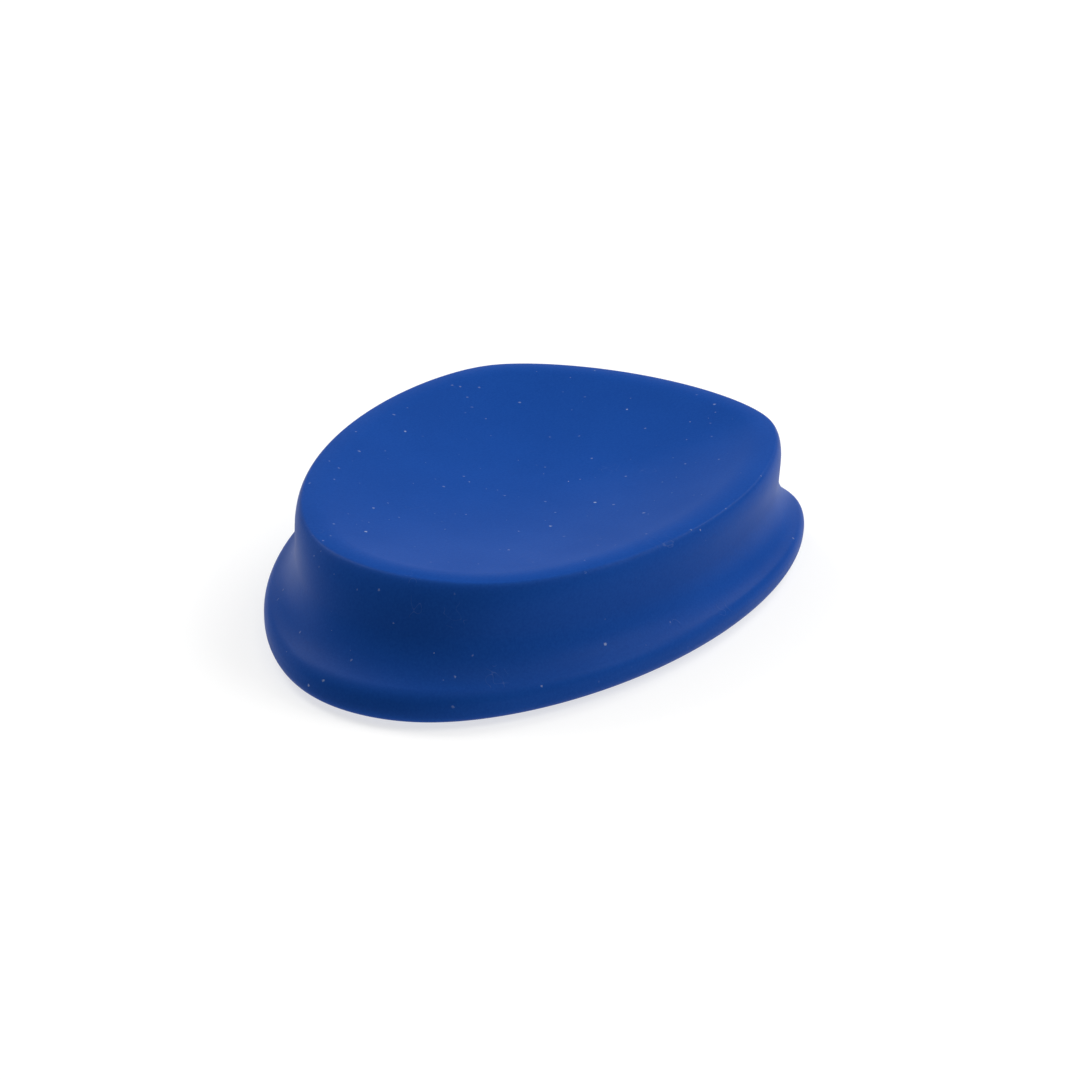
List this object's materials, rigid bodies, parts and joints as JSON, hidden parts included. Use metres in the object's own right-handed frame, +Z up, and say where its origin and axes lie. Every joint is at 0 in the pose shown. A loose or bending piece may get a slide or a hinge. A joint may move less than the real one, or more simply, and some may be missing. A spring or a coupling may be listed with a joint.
{
  "type": "guitar slide",
  "caption": "Weighted guitar slide: a pick-shaped silicone grip with a dished top and waisted sides over a metal weight and a polished sole plate.",
  "frame": {"origin": "centre of the outline in the plane of the sole plate's face, which rests on the strings or on a table", "axes": "+X along the length towards the tip, where the foot flares out most, +Y across the width, +Z up out of the dished top"},
  "size_m": [0.0666, 0.0502, 0.0124],
  "materials": {
    "silicone": "matte moulded royal blue silicone",
    "brass": "turned and chamfered, unpolished",
    "polished_steel": "mirror polished stainless steel",
    "screw_steel": "zinc plated"
  },
  "bodies": {
    "root": {"grip_cover": "silicone", "core_weight": "brass", "string_plate": "polished_steel", "plate_screw_1": "screw_steel", "plate_screw_2": "screw_steel", "plate_screw_3": "screw_steel"}
  },
  "joints": []
}
